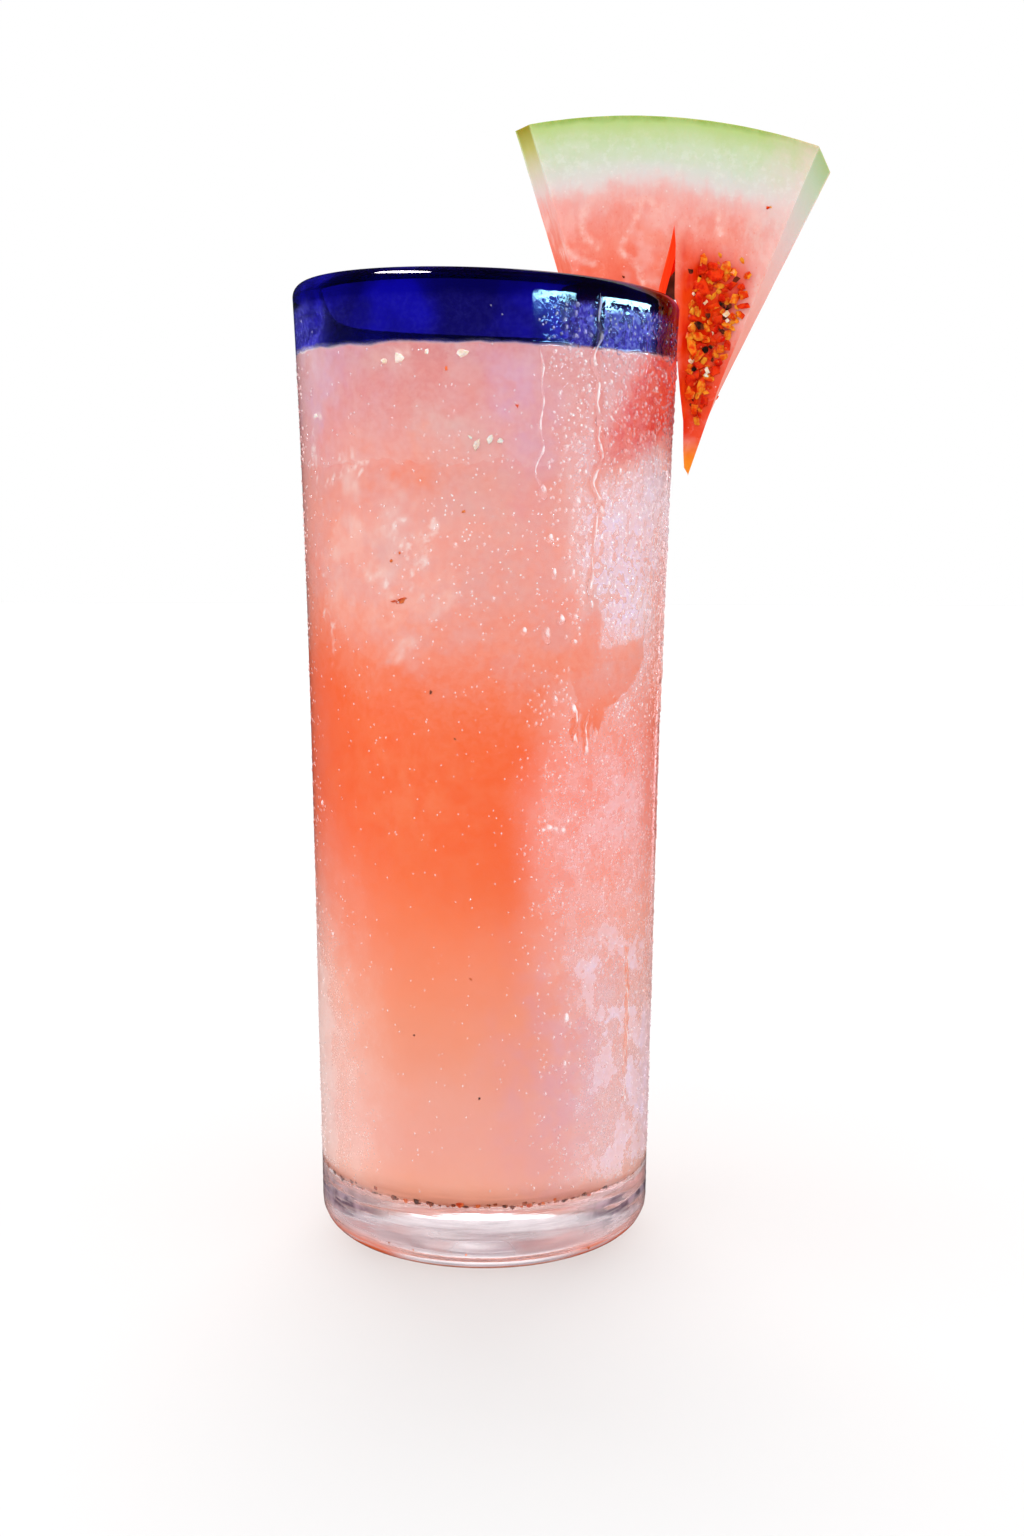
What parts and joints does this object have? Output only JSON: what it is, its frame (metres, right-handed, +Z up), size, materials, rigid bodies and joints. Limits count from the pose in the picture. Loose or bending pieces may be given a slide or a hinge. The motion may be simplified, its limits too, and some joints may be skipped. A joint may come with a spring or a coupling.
{
  "type": "watermelon cocktail",
  "caption": "Tall hand-blown tumbler with a blue lip, filled with pink watermelon cocktail and ice, with a chili-flecked watermelon wedge slit over the lip.",
  "frame": {"origin": "middle of the flat underside of the glass, on its axis", "axes": "+Z up along the glass's axis; +X towards the side of the lip that carries the wedge; -Y is the side the picture was taken from"},
  "size_m": [0.101, 0.072, 0.2109],
  "materials": {
    "tumbler_glass": "clear hand-blown glass, cobalt blue lip",
    "drink": "cloudy coral-pink liquid",
    "ice": "wet ice",
    "melon": "moist melon flesh with pale green rind and chili flakes"
  },
  "bodies": {
    "root": {"glass": "tumbler_glass", "drink": "drink", "ice_front_left": "ice", "ice_front_right": "ice", "ice_back_left": "ice", "ice_back_right": "ice", "wedge": "melon"}
  },
  "joints": []
}
